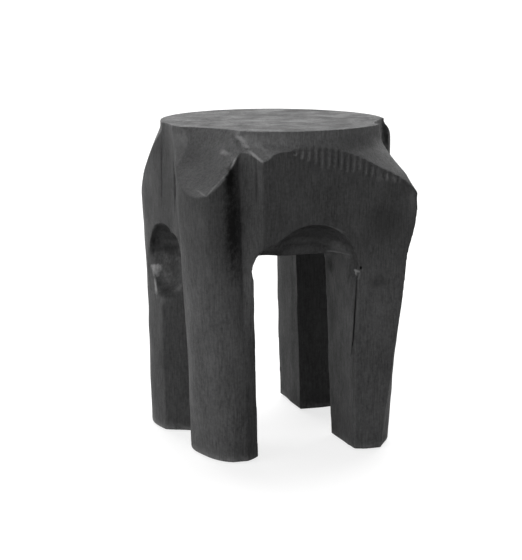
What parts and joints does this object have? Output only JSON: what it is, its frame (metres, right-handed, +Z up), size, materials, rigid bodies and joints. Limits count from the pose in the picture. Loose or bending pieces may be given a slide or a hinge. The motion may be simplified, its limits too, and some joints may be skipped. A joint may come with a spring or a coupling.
{
  "type": "root stool",
  "caption": "Solid low stool with a round flat seat, carved with its legs from one block of root wood and stained black, on felt glides.",
  "frame": {"origin": "on the floor, under the middle of the whole stool's box", "axes": "+Z up through the seat, -Y to the viewer, who sees the front arch a little to the right of the middle, +X to the viewer's right"},
  "size_m": [0.3903, 0.3805, 0.45],
  "materials": {
    "stained_wood": "black stain rubbed back to a dull satin, with the grain showing",
    "nylon": "moulded, matt",
    "felt": "pressed wool felt",
    "nail_steel": "bright drawn wire"
  },
  "bodies": {
    "root": {"carved_body": "stained_wood", "glide_cup_front_left": "nylon", "felt_pad_front_left": "felt", "glide_nail_front_left": "nail_steel", "glide_cup_front_right": "nylon", "felt_pad_front_right": "felt", "glide_nail_front_right": "nail_steel", "glide_cup_back_right": "nylon", "felt_pad_back_right": "felt", "glide_nail_back_right": "nail_steel", "glide_cup_back_left": "nylon", "felt_pad_back_left": "felt", "glide_nail_back_left": "nail_steel"}
  },
  "joints": []
}
